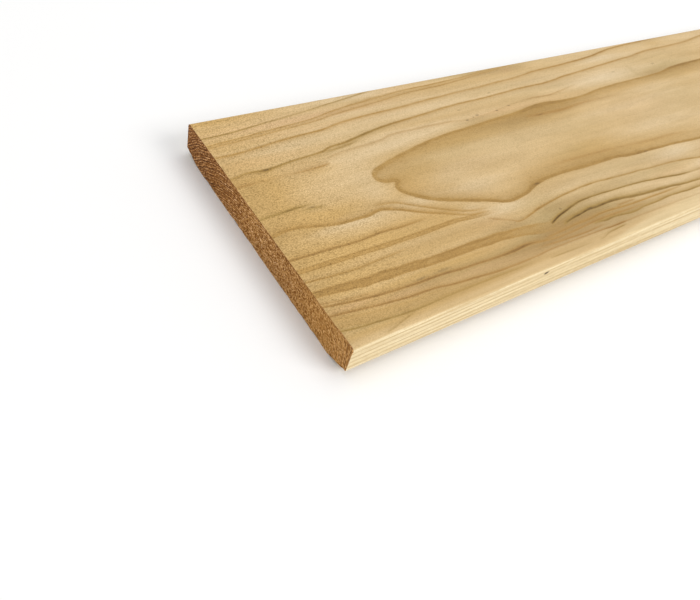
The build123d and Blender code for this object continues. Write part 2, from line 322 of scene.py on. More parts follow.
# Slow changes of tone: soft spots at (x, y), reaching rx and ry, of some strength
TONES = {
    "gold": [
        (4, 86, 22, 14, 0.85), (18, 102, 34, 5, 0.3), (6, 146, 38, 4.5, 0.95), (30, 66.5, 32, 4.5, 0.55), (74, 55, 22, 5, 0.5), (95, 47, 16, 4, 0.5),
        (102, 72, 18, 10, 0.40), (150, 92, 60, 5, 0.30),
        (20, 4.5, 90, 2.4, 0.7), (60, 20.5, 70, 2.6, 0.55), (14, 48, 40, 4, 0.35), (14, 33, 40, 4, 0.3), (90, 78, 20, 12, 0.85), (120, 84, 26, 12, 0.15),
        (42, 86, 26, 11, 0.40), (46, 72, 20, 6, 0.45), (205, 73, 34, 6, 0.40), (225, 65, 26, 5, 0.45), (225, 129.5, 34, 2.6, 0.5), (170, 138, 60, 3, 0.45),
        (12, 138, 40, 3, 0.4), (205, 145, 32, 3.5, 0.5), (330, 103, 50, 4, 0.45), (150, 113, 60, 3, 0.35), (100, 5.4, 60, 2.0, 0.35),
        (300, 102, 46, 5, 0.5), (385, 104, 30, 5, 0.6), (200, 98, 70, 7, 0.4), (387, 140, 12, 3, 0.5), (160, 57, 46, 5, 0.25),
        (215, 55, 40, 5, 0.35), (300, 50, 36, 5, 0.55), (245, 3, 60, 3, 0.4), (120, 18, 24, 3, 0.3), (60, 112, 40, 4, 0.2), (430, 118, 40, 10, 0.3),
        (6, 126, 34, 7, 0.55), (4, 112, 22, 6, 0.5), (6, 96, 26, 8, 0.5), (2, 72, 20, 8, 0.9), (8, 64, 22, 6, 0.7), (26, 68, 26, 6, 0.3), (20, 54, 60, 6, 0.6),
        (14, 43, 60, 6, 0.7), (60, 50, 50, 6, 0.5), (60, 41, 50, 5, 0.7), (60, 33, 70, 5, 0.6), (20, 27, 40, 4, 0.7), (80, 22, 60, 5, 0.35), (40, 15, 70, 5, 0.8),
        (100, 14, 50, 6, 0.8), (40, 9, 60, 3, 0.6), (86, 68, 14, 7, 0.3), (92, 58, 12, 5, 0.3), (165, 100, 40, 5, 0.5), (205, 100, 40, 5, 0.5),
        (200, 62, 40, 6, 0.55), (235, 57, 40, 5, 0.5), (150, 46, 30, 4, 0.35), (200, 50, 50, 4, 0.4), (265, 52, 30, 4, 0.5), (130, 94, 30, 6, 0.5), (100, 93, 18, 4, 0.3),
        (190, 92, 50, 6, 0.4), (270, 108, 60, 4, 0.3), (110, 34, 26, 5, 0.3), (47, 97, 12, 3, 0.65), (4, 74, 14, 5, 0.55),
        (48, 105.5, 12, 3, 0.3), (262, 73, 26, 5, 0.25), (235, 65, 30, 4, 0.22), (106, 80, 12, 6, 0.28), (106, 64.5, 10, 3, 0.3), (372, 90, 20, 5, 0.3),
        (372, 107, 20, 4, 0.28), (40, 142, 24, 4, 0.28), (45, 15.5, 30, 3, 0.18), (100, 4, 90, 2.4, 0.18), (86, 41, 12, 3, 0.2), (128, 40.5, 12, 3, 0.14),
    ],
    "pale": [
        (50, 88, 20, 9, 0.15), (66, 78, 8, 10, 0.25), (66, 96, 16, 5, 0.25), (128, 104.5, 34, 3.6, 0.50), (92, 101, 26, 4, 0.55), (296, 116, 42, 6, 0.9),
        (235, 128, 30, 3, 0.3), (312, 135, 22, 3, 0.7), (128, 40.5, 16, 4.2, 0.8), (108, 46.5, 8, 3, 0.5), (200, 43, 34, 4, 0.10), (284, 39, 22, 5, 0.9), (300, 25, 14, 3, 0.6),
        (86, 61, 12, 4, 0.5), (310, 78, 50, 14, 0.15), (330, 98, 28, 5, 0.3), (230, 24, 20, 2, 0.25), (190, 25, 14, 2, 0.3), (230, 30, 20, 2.4, 0.2), (90, 131, 24, 2, 0.25),
        (52, 118, 40, 3, 0.3), (145, 124, 40, 3, 0.3), (185, 76, 40, 14, 0.15), (60, 55, 36, 3.5, 0.25), (60, 39, 40, 2.4, 0.25), (98, 143.6, 26, 2.5, 0.75),
        (122, 58, 16, 5, 0.35), (110, 70, 20, 8, 0.3), (40, 60, 22, 2.6, 0.45), (250, 17, 26, 2.4, 0.3),
    ],
    "pink": [
        (58, 134.5, 58, 3, 0.75), (60, 126.5, 60, 2, 0.3), (12, 18.6, 14, 1.8, 0.7), (42, 14.8, 18, 2, 0.8), (80, 12, 22, 2.4, 0.8), (112, 10.8, 20, 2.8, 0.8),
        (114, 35, 14, 4, 0.35), (230, 107, 30, 2, 0.25), (188, 107.5, 28, 2.4, 0.45), (124, 143.5, 20, 2.4, 0.35), (272, 34, 16, 2.6, 0.5), (130, 78, 24, 8, 0.25),
        (260, 25, 20, 2.6, 0.3), (223, 142, 6, 2.6, 0.7), (110, 20, 20, 2, 0.3), (20, 112, 26, 3, 0.25), (300, 85, 40, 10, 0.2), (205, 19, 20, 1.6, 0.4),
    ],
    "drab": [
        (246, 31.3, 46, 3.6, 0.5), (332, 115, 2.5, 9, 0.3), (205, 127.5, 40, 3, 0.35), (232, 118, 30, 2.6, 0.4), (153, 29.5, 10, 3.6, 0.6), (156, 22.3, 8, 2, 0.5),
        (28, 74.8, 5, 1.6, 0.35), (370, 125, 40, 5, 0.35), (200, 33, 24, 2.4, 0.3), (150, 47, 10, 3, 0.2), (185, 18.6, 18, 1.6, 0.5), (20, 7, 30, 2, 0.3),
        (350, 75, 40, 12, 0.2), (232, 76, 30, 12, 0.22),
        (150, 22, 26, 6, 0.9), (175, 20, 30, 5, 0.8), (135, 17, 26, 4, 0.7), (155, 30, 20, 5, 0.6), (180, 15, 34, 3, 0.65), (120, 27, 20, 4, 0.4), (205, 13, 30, 4, 0.3),
        (110, 16, 30, 3, 0.5), (60, 17, 26, 3, 0.5), (150, 38, 22, 4, 0.4), (180, 96, 34, 3, 0.4), (375, 115, 30, 5, 0.8), (360, 106, 26, 5, 0.6), (340, 112, 30, 4, 0.3),
        (205, 146, 30, 4, 0.5), (160, 105, 26, 3, 0.3), (210, 64, 24, 4, 0.3), (70, 10, 60, 4, 0.4), (190, 147, 30, 3, 0.5), (240, 146, 30, 4, 0.3),
        (120, 84, 44, 10, 0.42), (230, 42.5, 44, 3.2, 0.5), (350, 88, 34, 8, 0.3), (190, 86, 60, 10, 0.2), (205, 8, 18, 3, 0.5),
    ],
    "deep": [
        (150, 18.5, 18, 5, 0.75), (172, 17.5, 26, 5.5, 0.85), (196, 13.5, 30, 3, 0.42), (130, 15, 22, 4, 0.55), (108, 13, 20, 3, 0.4), (236, 11.5, 26, 2.4, 0.18),
        (118, 29, 14, 3.2, 0.60), (55, 17, 24, 2.4, 0.30), (140, 10.5, 60, 3, 0.45), (150, 113.5, 60, 3, 0.20), (110, 36, 14, 3, 0.15), (175, 43.5, 36, 3, 0.30), (100, 5.6, 60, 2, 0.3),
        (185, 7, 24, 2.6, 0.35), (70, 36, 36, 3, 0.28), (60, 10.5, 30, 3, 0.22), (80, 5, 26, 2.2, 0.25), (208, 11, 20, 3, 0.4),
        (160, 30, 22, 3.5, 0.55), (196, 31, 30, 3.5, 0.35), (215, 100, 26, 4.5, 0.75), (184, 97, 26, 4, 0.45), (245, 99, 20, 4, 0.4), (150, 96, 24, 3, 0.3),
        (210, 55, 34, 4.5, 0.4), (240, 52, 24, 4, 0.35), (4, 84, 10, 20, 0.25), (2, 30, 8, 30, 0.35), (3, 112, 10, 16, 0.2), (60, 15.5, 26, 2, 0.3),
        (350, 109, 16, 4, 0.5), (385, 108, 30, 4, 0.4), (205, 143, 20, 3, 0.45), (165, 104, 18, 3, 0.3), (186, 91, 16, 5, 0.2), (140, 10, 26, 3, 0.3),
        (230, 142.5, 18, 4, 0.30), (205, 142, 16, 4, 0.12), (232, 128.3, 16, 3, 0.24), (232, 120.2, 18, 3, 0.22), (270, 120.1, 22, 3.5, 0.26),
        (6, 28.3, 12, 2.4, 0.2), (203, 47.8, 16, 3, 0.15), (235, 47.5, 16, 3, 0.15), (150, 21.3, 12, 2.4, 0.15), (176, 21, 14, 2.4, 0.16), (106, 81, 10, 4, 0.12),
        (4, 65, 12, 5, 0.42), (16, 73, 10, 3, 0.14), (128, 27.4, 10, 3, 0.22), (177, 27, 12, 2.6, 0.26), (236, 40.2, 18, 3.5, 0.22), (272, 40, 20, 3.5, 0.20),
        (236, 7.8, 14, 2.2, 0.20), (165, 3.2, 30, 2.4, 0.18), (155, 135.7, 20, 3, 0.16),
    ],
}
rng = np.random.default_rng(77)
for name, n, amp in (("gold", 60, 0.55), ("pale", 60, 0.6), ("pink", 36, 0.5), ("drab", 30, 0.35)):
    for _ in range(n):
        x = rng.uniform(470, 2060)
        TONES[name].append((x, rng.uniform(0, 146), rng.uniform(25, 90), rng.uniform(3, 9), amp * rng.uniform(0.4, 1.0)))

# ---------------------------------------------------------------------------
# Ring phase through the thickness, for the edges, the ends and the underside:
# a whole number at each ring's line on the top face, falling towards the heart.
# ---------------------------------------------------------------------------
FAR = {
    1: [(-10, 103.3), (20, 105.5), (45, 108.3), (65, 110.5), (101, 115.5), (145, 120), (195, 121), (260, 123), (330, 126), (400, 131), (600, 135), (900, 138), (1250, 137), (END, 140)],
    2: [(-10, 119.5), (30, 121.6), (70, 125), (101, 128), (132, 128.6), (195, 131.5), (280, 136), (400, 146), (600, 150), (END, 153)],
    3: [(-10, 127.6), (32, 129.5), (70, 133), (101, 138), (151, 140), (195, 143), (300, 150), (600, 158), (END, 161)],
    4: [(-10, 133.7), (30, 136.6), (70, 141), (107, 145.5), (200, 152), (600, 166), (END, 168)],
    5: [(-10, 143.5), (40, 146), (100, 152), (600, 174), (END, 175)],
}
NEAR = {
    1: [(-10, 64.6), (14, 66), (39, 61.4), (60, 60.6), (70, 58), (82, 53), (101, 44), (114, 37.5), (126, 31), (133, 30.2), (151, 33.6), (176, 35.8), (195, 35.6), (245, 34), (282, 32), (400, 22.5), (620, 18), (950, 17), (1300, 16), (END, 12)],
    2: [(-10, 50.8), (40, 49.6), (82, 49.2), (101, 41.5), (114, 35), (126, 28.4), (140, 27.2), (160, 30), (195, 31), (245, 29), (400, 19), (620, 14.5), (950, 13), (END, 9)],
    3: [(-10, 43.2), (60, 42.6), (101, 41.0), (112, 34), (126, 26.8), (147, 22.4), (164, 27), (176, 28.6), (195, 28.6), (232, 25.5), (257, 22.4), (282, 20), (400, 15), (620, 11), (950, 10), (END, 5)],
    4: [(-10, 36.7), (45, 35.6), (101, 32), (126, 25.4), (146, 17.8), (158, 19.8), (170, 21), (195, 20.5), (240, 17), (282, 13), (400, 8.5), (620, 6), (950, 5), (END, 1)],
    5: [(-10, 29), (30, 26.8), (57, 25.3), (82, 24.3), (120, 21.8), (139, 16.4), (152, 15.6), (170, 17.6), (195, 17.2), (240, 13.5), (282, 9), (400, 5), (620, 2), (END, -3)],
    6: [(-10, 22.8), (10, 21.6), (32, 18.6), (70, 17.4), (120, 15), (139, 13), (164, 14.6), (195, 14), (240, 10), (300, 4), (400, 0), (END, -8)],
    7: [(-10, 17.9), (32, 13.8), (64, 10.2), (120, 7), (160, 8), (195, 7.4), (260, 3), (330, -2), (END, -14)],
    8: [(-10, 9.2), (45, 5.4), (90, 3.6), (150, 3.4), (195, 2.6), (260, -2), (END, -20)],
}
FAR_F = {i: pchip(p) for i, p in FAR.items()}
NEAR_F = {i: pchip(p) for i, p in NEAR.items()}
T_FAR_F = pchip(TONGUE_FAR)
T_NEAR_F = pchip([(71.0, 78.0), (78, 71.4)] + [p for p in TONGUE_NEAR if p[0] > 79 and p[1] < 70])


def phase(u, v, h):
    side = np.where(v >= VC, 1.0, -1.0)
    w = v - VC
    pith = 60.0 + 72.0 * (1 - smooth(-38.0, 38.0, w))
    s = w * w - 2 * pith * h + h * h
    y = np.sqrt(np.maximum(s, 0.0))
    out = np.zeros_like(u)
    pc = pchip([(-10, 0.62), (40, 0.38), (70, 0.0), (120, -0.16), (300, -0.55), (590, -1.0), (880, -2.0), (1210, -3.0), (1590, -4.0), (END, -5.0)])(u)
    for sg, table in ((1.0, FAR_F), (-1.0, NEAR_F)):
        m = side == sg
        if not m.any():
            continue
        um, ym = u[m], y[m]
        lines = np.stack([table[i](um) for i in sorted(table)], -1)
        vals = np.array(sorted(table), float)
        dist = sg * (lines - VC)
        tong = np.maximum(sg * ((T_FAR_F(um) if sg > 0 else T_NEAR_F(um)) - VC), 0.5)
        has = um > 72
        k0 = np.where(has, tong, 0.0)
        v0 = np.where(has, 0.0, pc[m])
        t = np.clip(ym / np.maximum(k0, 1e-3), 0, 1)
        res = np.where(has, pc[m] * (1 - t**2), pc[m])
        prev_d, prev_v = k0, v0
        for j in range(lines.shape[1]):
            cur = np.maximum(dist[:, j], prev_d + 0.6)
            f = (ym - prev_d) / (cur - prev_d)
            res = np.where(ym >= prev_d, prev_v + f * (vals[j] - prev_v), res)
            prev_d, prev_v = cur, np.full(len(um), vals[j])
        out[m] = res
    deep = np.sqrt(np.maximum(pith**2 + np.minimum(s, 0.0), 1.0))
    return out - (pith - deep) / 2.7


# ---------------------------------------------------------------------------
# The mesh: one closed skin with rounded arrises, fine where the figure is
# tight, and sawn ends with their own fine relief.
# ---------------------------------------------------------------------------
def section_loop():
    """The section's outline as (v, z) points in mm, counter-clockwise seen from +u."""
    top = np.linspace(R_TOP, W - R_TOP, 115)
    bottom = np.linspace(W - B_V, B_V, 38)
    side = np.linspace(B_Z + 0.35, T - R_TOP, 9)
    a1 = np.linspace(0, np.pi / 2, 6)[1:-1]
    # the bevel, with its two corners just broken
    corner = [(0.02, B_Z - 0.02 * B_Z / B_V + 0.1), (0.25, B_Z - 0.25 * B_Z / B_V)]
    slope = [(v, B_Z * (1 - v / B_V)) for v in np.linspace(1.4, B_V - 0.5, 8)]
    bevel = corner + slope
    pts = [(v, T) for v in top]
    pts += [(W - R_TOP + R_TOP * math.sin(a), T - R_TOP + R_TOP * math.cos(a)) for a in a1]
    pts += [(W, z) for z in side[::-1]]
    pts += [(W - v, z) for v, z in bevel]
    pts += [(v, 0.0) for v in bottom]
    pts += bevel[::-1]
    pts += [(0.0, z) for z in side]
    pts += [(R_TOP - R_TOP * math.cos(a), T - R_TOP + R_TOP * math.sin(a)) for a in a1]
    return np.array(pts)


LOOP = section_loop()
M = len(LOOP)
start = np.array([0.0, 0.3, 0.8, 1.4, 2.0, 2.8, 3.8])
fine = np.arange(5.4, 440.0, 1.85)
rest = np.linspace(0, 1, 140) ** 1.15
U = np.concatenate([start, fine, fine[-1] + 1.85 + (L - 0.7 - fine[-1] - 1.85) * rest, [L - 0.25, L]])
U = np.unique(np.round(U, 4))
K = len(U)


def inset(p):
    """How far points (v, z) lie inside the section's outline."""
    v, z = p[:, 0], p[:, 1]
    dv = np.abs(v - W / 2) - (W / 2 - R_TOP)
    dz = z - (T - R_TOP)
    upper = R_TOP - np.hypot(np.maximum(dv, 0), np.maximum(dz, 0)) - np.minimum(np.maximum(dv, dz), 0)
    edge = W / 2 - np.abs(v - W / 2)
    bevel = (z * B_V + edge * B_Z - B_V * B_Z) / math.hypot(B_V, B_Z)
    return np.minimum(np.minimum(upper, z), bevel)


def cap(outward):
    """A sawn end: a fine grid of points inside the outline, joined to it as triangles."""
    step = 0.9
    gv, gz = np.meshgrid(np.arange(step * 0.6, W, step), np.arange(step * 0.6, T, step * 0.95))
    g = np.stack([gv.ravel(), gz.ravel()], 1)
    rows = np.round(g[:, 1] / (step * 0.95)).astype(int)
    g[:, 0] += (rows % 2) * step * 0.5
    g = g[inset(g) > 0.45]
    pts = [Vector(p) for p in np.vstack([LOOP, g])]
    edges = [(i, (i + 1) % M) for i in range(M)]
    vs, _, fs, *_ = delaunay_2d_cdt(pts, edges, [], 1, 1e-6)
    assert len(vs) == len(pts), (len(vs), len(pts))
    tris = []
    for f in fs:
        a, b, c = (np.array(vs[k]) for k in f)
        area = (b[0] - a[0]) * (c[1] - a[1]) - (b[1] - a[1]) * (c[0] - a[0])
        f = list(f)
        if (area > 0) != (outward > 0):
            f = f[::-1]
        tris.append(f)
    return g, tris


def sawn_relief(v, z, seed):
    """Relief of a sawn end, in mm below the plane of the cut."""
    p = np.stack([v, z, np.zeros_like(v)], 1)
    arcs = np.sin((z * 0.92 + v * 0.16 + 0.0016 * (v - 60) ** 2) * 2 * np.pi / 2.3 + 1.5 * hash_noise(p * [0.05, 0.2, 1], seed))
    rough = hash_noise(p * [0.9, 0.9, 1], seed + 1) * 0.5 + hash_noise(p * [0.3, 0.45, 1], seed + 2) * 0.5
    return 0.035 * (1 + arcs) + 0.08 * (1 + rough)


skin_u = np.repeat(U, M)
skin_v = np.tile(LOOP[:, 0], K)
skin_z = np.tile(LOOP[:, 1], K)
g0, tris0 = cap(-1)
g1, tris1 = cap(1)

# the arris of each cut is slightly ragged, with small chips where the saw left the wood
for end, seed in ((0, 3), (K - 1, 4)):
    idx = np.arange(end * M, end * M + M)
    p = np.stack([LOOP[:, 0] * 0.35, LOOP[:, 1] * 0.35, np.zeros(M)], 1)
    chip = np.maximum(hash_noise(p * 2.2, seed) * 0.6 + hash_noise(p * 0.7, seed + 9) * 0.5 - 0.12, 0)
    chip = 0.04 + chip * np.where(LOOP[:, 1] < B_Z, 0.8, 0.3)
    skin_u[idx] += chip if end == 0 else -chip

# near the near corner of the shown end the upper edge is broken into a small slanting bevel
bevel_v = 0.7 * smooth(17.0, 7.0, skin_v) * (skin_z > T - R_TOP - 0.2)
bevel = bevel_v * np.clip(1 - skin_u / (1.25 * np.maximum(bevel_v, 0.01)), 0, 1)
skin_z = skin_z - 0.5 * bevel

verts_u = np.concatenate([skin_u, sawn_relief(g0[:, 0], g0[:, 1], 21), L - sawn_relief(g1[:, 0], g1[:, 1], 31)])
verts_v = np.concatenate([skin_v, g0[:, 0], g1[:, 0]])
verts_z = np.concatenate([skin_z, g0[:, 1], g1[:, 1]])
# the cut's top rows of points follow the bevel down
drop = 0.5 * 0.7 * smooth(17.0, 7.0, g0[:, 0]) * smooth(T - 3.0, T - 0.4, g0[:, 1])
verts_z[len(skin_u):len(skin_u) + len(g0)] -= drop
co = to_row(verts_u, verts_v, verts_z)

k, m = np.meshgrid(np.arange(K - 1), np.arange(M), indexing="ij")
a = k * M + m
b = k * M + (m + 1) % M
quads = np.stack([a, b, b + M, a + M], -1).reshape(-1, 4)
off0, off1 = K * M, K * M + len(g0)
faces = quads.tolist()
n_skin = len(faces)
faces += [[i if i < M else off0 + i - M for i in f] for f in tris0]
faces += [[(K - 1) * M + i if i < M else off1 + i - M for i in f] for f in tris1]

mesh = bpy.data.meshes.new("pine_board")
mesh.from_pydata(co.tolist(), [], faces)
mesh.validate()
mesh.update()
board = bpy.data.objects.new("pine_board", mesh)
scene.collection.objects.link(board)

# outward normals
bm = bmesh.new()
bm.from_mesh(mesh)
bmesh.ops.recalc_face_normals(bm, faces=bm.faces)
bm.to_mesh(mesh)
bm.free()

mesh.polygons.foreach_set("use_smooth", np.arange(len(mesh.polygons)) < n_skin)
sharp = mesh.attributes.new("sharp_edge", "BOOLEAN", "EDGE")
ends = np.empty(len(mesh.edges) * 2, np.int64)
mesh.edges.foreach_get("vertices", ends)
ends = ends.reshape(-1, 2)
first = (ends < M).all(1)
last = ((ends >= (K - 1) * M) & (ends < K * M)).all(1)
gap = np.abs(ends[:, 0] - ends[:, 1])
sharp.data.foreach_set("value", (first | last) & ((gap == 1) | (gap == M - 1)))

# ---------------------------------------------------------------------------
# Figure attributes on the mesh
# ---------------------------------------------------------------------------
fx, fy = to_figure(verts_u, verts_v)
fh = T - verts_z


def attribute(name, values):
    values = np.asarray(values, np.float32)
    kind, key = ("FLOAT", "value") if values.ndim == 1 else ("FLOAT_VECTOR", "vector")
    at = mesh.attributes.new(name, kind, "POINT")
    at.data.foreach_set(key, values.ravel())


# shapes across a stroke, at distances from its middle in strokes' widths, outwards positive
PROFILE = {
    "line": [(-2.8, 0.0), (-1.8, 0.10), (-1.05, 0.26), (-0.55, 0.56), (-0.22, 1.0), (0.20, 1.0), (0.45, 0.40), (0.72, 0.10), (1.1, 0.0)],
    "late": [(-3.0, 0.0), (-2.0, 0.12), (-1.2, 0.36), (-0.6, 0.70), (-0.28, 1.0), (0.12, 1.0), (0.32, 0.35), (0.5, 0.05), (0.65, 0.0)],
    "plateau": [(-0.95, 0.0), (-0.72, 0.12), (-0.56, 0.5), (-0.47, 0.95), (-0.36, 1.0), (-0.22, 0.78), (0.2, 0.74), (0.36, 0.90), (0.47, 0.88), (0.55, 0.35), (0.64, 0.06), (0.75, 0.0)],
    "double": [(-1.0, 0.0), (-0.68, 0.35), (-0.48, 1.0), (-0.24, 0.5), (0.1, 0.42), (0.32, 0.95), (0.48, 1.0), (0.60, 0.25), (0.8, 0.0)],
    "soft": [(-1.5, 0.0), (-1.0, 0.15), (-0.5, 0.6), (0.0, 1.0), (0.5, 0.6), (1.0, 0.15), (1.4, 0.0)],
    "tongue": [(-2.4, 0.0), (-1.5, 0.12), (-0.95, 0.30), (-0.5, 0.52), (-0.30, 0.72), (-0.20, 1.0), (0.02, 1.0), (0.06, 0.6), (0.1, 0.2), (0.16, 0.04), (0.22, 0.0)],
}
TINT = {"brown": 0.0, "gold": 0.5, "olive": 1.0}

# each stroke at the face's points: kind, tint, signed distance in mm, width and darkness
face = np.flatnonzero(verts_z > T / 2)
px, py = fx[face], fy[face]
drawn = []
for i, (name, tint, kind, out, line, width, dark) in enumerate(STROKES):
    f = pchip(line)
    far_on = smooth(460, 640, px) * 1.1 * wander(200 + i)(px)
    mid = f(px) + far_on
    slope = (f(px + 2.0) - f(px - 2.0)) / 4.0
    d = out * (py - mid) / np.sqrt(1 + slope**2)
    dk = pchip(dark)(px) * (1 + 0.12 * smooth(460, 640, px) * wander(300 + i)(px * 1.7))
    drawn.append((kind, TINT[tint] if isinstance(tint, str) else pchip(tint)(px), d, pchip(width)(px), np.clip(dk, 0, 1)))

q = np.stack([px, py], 1)
far_half = smooth(VC - 4, VC + 4, py)
wd = T_WIDTH[0](px) * far_half + T_WIDTH[1](px) * (1 - far_half)
dk = T_DARK[0](px) * far_half + T_DARK[1](px) * (1 - far_half)
drawn.append(("tongue", 0.62, tongue_distance(T_FAR, T_NEAR, q), wd, dk))
for name, (far, near) in NESTED.items():
    tip = far[0, 0]
    wd = 5.5 + 6 * np.exp(-np.maximum(px - tip, 0) / 70)
    drawn.append(("tongue", 0.5, tongue_distance(far, near, q), wd, 0.5 + 0.08 * wander(int(tip))(px)))

# strokes of one kind that never come near each other share a layer
LAYERS = []
for kind, tint, d, wd, dk in drawn:
    lo, hi = PROFILE[kind][0][0], PROFILE[kind][-1][0]
    gap = np.maximum(np.maximum(lo * wd - d, d - hi * wd), 0)
    gap = np.where(dk > 0.004, gap, 1e3)
    for layer in LAYERS:
        if layer["kind"] == kind and not ((gap < 3.2) & (layer["gap"] < 3.2)).any():
            break
    else:
        layer = {"kind": kind, "gap": np.full(len(px), 1e4), "t": np.full(len(px), 12.0), "dark": np.zeros(len(px)), "tint": np.full(len(px), 0.5)}
        LAYERS.append(layer)
    here = gap < layer["gap"]
    layer["gap"] = np.where(here, gap, layer["gap"])
    layer["t"] = np.where(here, np.clip(d / wd, -12, 12), layer["t"])
    layer["dark"] = np.where(here, dk * smooth(2.2, 0.5, gap), layer["dark"])
    layer["tint"] = np.where(here, tint, layer["tint"])
for i, layer in enumerate(LAYERS):
    packed = np.zeros((len(verts_u), 3))
    packed[:, 0] = 12.0
    packed[face] = np.stack([layer["t"], layer["dark"], layer["tint"]], 1)
    attribute(f"layer_{i}", packed)

tone = {}
for name, spots in TONES.items():
    t = np.zeros_like(fx)
    for cx, cy, rx, ry, amp in spots:
        t += amp * np.exp(-(((fx - cx) / rx) ** 2) - ((fy - cy) / ry) ** 2)
    tone[name] = np.clip(t, 0, 1.2)
# a strip of pale sapwood along the near edge, which widens away from the shown end
SAP = pchip([(0, 0.8), (90, 0.9), (140, 1.0), (165, 2.0), (180, 3.2), (200, 5.8), (222, 7.2), (240, 8.6), (280, 10.0), (400, 9.0), (560, 12.5), (720, 8.0), (950, 11.0), (1180, 6.5), (1420, 9.5), (1640, 5.5), (1800, 7.5)])
sap_at = SAP(verts_u)
sap = smooth(1.0, -1.0, (verts_v - sap_at) / np.maximum(0.35 * sap_at, 0.6)) * smooth(0.9, 3.0, sap_at) * (verts_z > T / 2)
sap = sap * (1 - 0.30 * smooth(160, 195, verts_u) * smooth(290, 235, verts_u))
tone["gold"] = tone["gold"] + 0.28 * smooth(48.0, 0.0, verts_u) * smooth(3.0, 8.0, verts_v)
attribute("tone_a", np.stack([np.clip(tone["gold"], 0, 1.2), tone["pale"], tone["pink"]], 1))
attribute("tone_b", np.stack([tone["drab"], tone["deep"], sap], 1))

attribute("phase", phase(fx, fy, fh))
# on the sawn ends the rings are arcs about the heart, which lay below the board: the distance from
# it and the way along the arc, both in mm
HEART_V, HEART_Z = 76.0, -66.0
radius = np.hypot(verts_v - HEART_V, verts_z - HEART_Z)
turn = np.arctan2(verts_v - HEART_V, verts_z - HEART_Z) * 82.0
attribute("arcs", np.stack([radius, turn, verts_u], 1))
attribute("top", smooth(T - R_TOP * 0.8, T - R_TOP * 0.1, verts_z + 0.5 * np.concatenate([bevel, np.zeros(len(verts_z) - len(bevel))])))
near = smooth(1.0, 0.15, verts_v) * (verts_z > T / 2) + smooth(11.0, 1.0, verts_v) * (verts_z <= T / 2)
away = smooth(W - 1.5, W - 0.45, verts_v) * (verts_z > T / 2) + smooth(W - 11.0, W - 1.0, verts_v) * (verts_z <= T / 2)
attribute("edge", near)
attribute("far_edge", away)
cut = np.zeros(len(verts_u))
cut[:M] = 1.0
cut[(K - 1) * M:] = 1.0
cut[:len(bevel)] = np.maximum(cut[:len(bevel)], smooth(0.05, 0.35, bevel))
attribute("cut", cut)
attribute("height", verts_z)
attribute("across", verts_v)
attribute("along", verts_u)


# small dark specks on the top face, in the drawing's coordinates, and on the near edge, in the
# board's: place along and across, half sizes, darkness
TOP_SPECKS = [
    (157, 106.3, 1.2, 0.5, 0.55), (167, 108.3, 1.4, 0.7, 0.42), (184, 108.5, 1.3, 0.5, 0.5), (196, 110.2, 1.3, 0.5, 0.5),
    (191, 124.3, 1.2, 0.5, 0.34), (158, 115.7, 1.5, 0.5, 0.25), (312, 118.7, 2.0, 0.6, 0.25), (360, 118.2, 2.4, 0.7, 0.25),
    (161, 48.4, 2.4, 0.7, 0.4), (20, 105.4, 2.0, 0.8, 0.4), (52, 18.8, 3.0, 0.7, 0.3), (66, 19.0, 4.0, 0.7, 0.25), (179, 21.9, 2.2, 0.9, 0.35),
    (262, 46.0, 2.2, 0.6, 0.3), (28, 75.6, 2.6, 0.6, 0.25), (160, 28.2, 0.9, 0.7, 0.35), (212, 96.8, 3.0, 0.6, 0.3),
]
EDGE_SPECKS = [(112.4, 15.0, 1.7, 1.0, 1.0), (159.5, 5.2, 0.8, 0.5, 0.5)]
speck = np.zeros((len(verts_u), 3))
speck[:, 0] = 9.0
nearest = np.full(len(verts_u), 1e6)
on_edge = (verts_v < 0.2) & (verts_z > B_Z - 0.2) & (verts_z < T - 1.2)
for place, spots in ((0, TOP_SPECKS), (1, EDGE_SPECKS)):
    for cx, cy, rx, ry, amount in spots:
        a, b = (fx - cx, fy - cy) if place == 0 else (verts_u - cx, verts_z - cy)
        far = np.hypot(a, b)
        here = (far < nearest) & (on_edge if place else (verts_z > T - 1.0))
        nearest = np.where(here, far, nearest)
        val = np.stack([a / rx, b / ry, amount * smooth(7.5, 5.0, far)], 1)
        speck[here] = val[here]
attribute("speck", speck)


# ---------------------------------------------------------------------------
# Materials
# ---------------------------------------------------------------------------
def srgb(r, g, b, k=1.0):
    def lin(c):
        c /= 255.0
        return k * (c / 12.92 if c <= 0.04045 else ((c + 0.055) / 1.055) ** 2.4)

    return (lin(r), lin(g), lin(b), 1.0)


def face(r, g, b):
    """A colour of the top face, seen under this scene's light."""
    return srgb(r, g, b, 0.896)


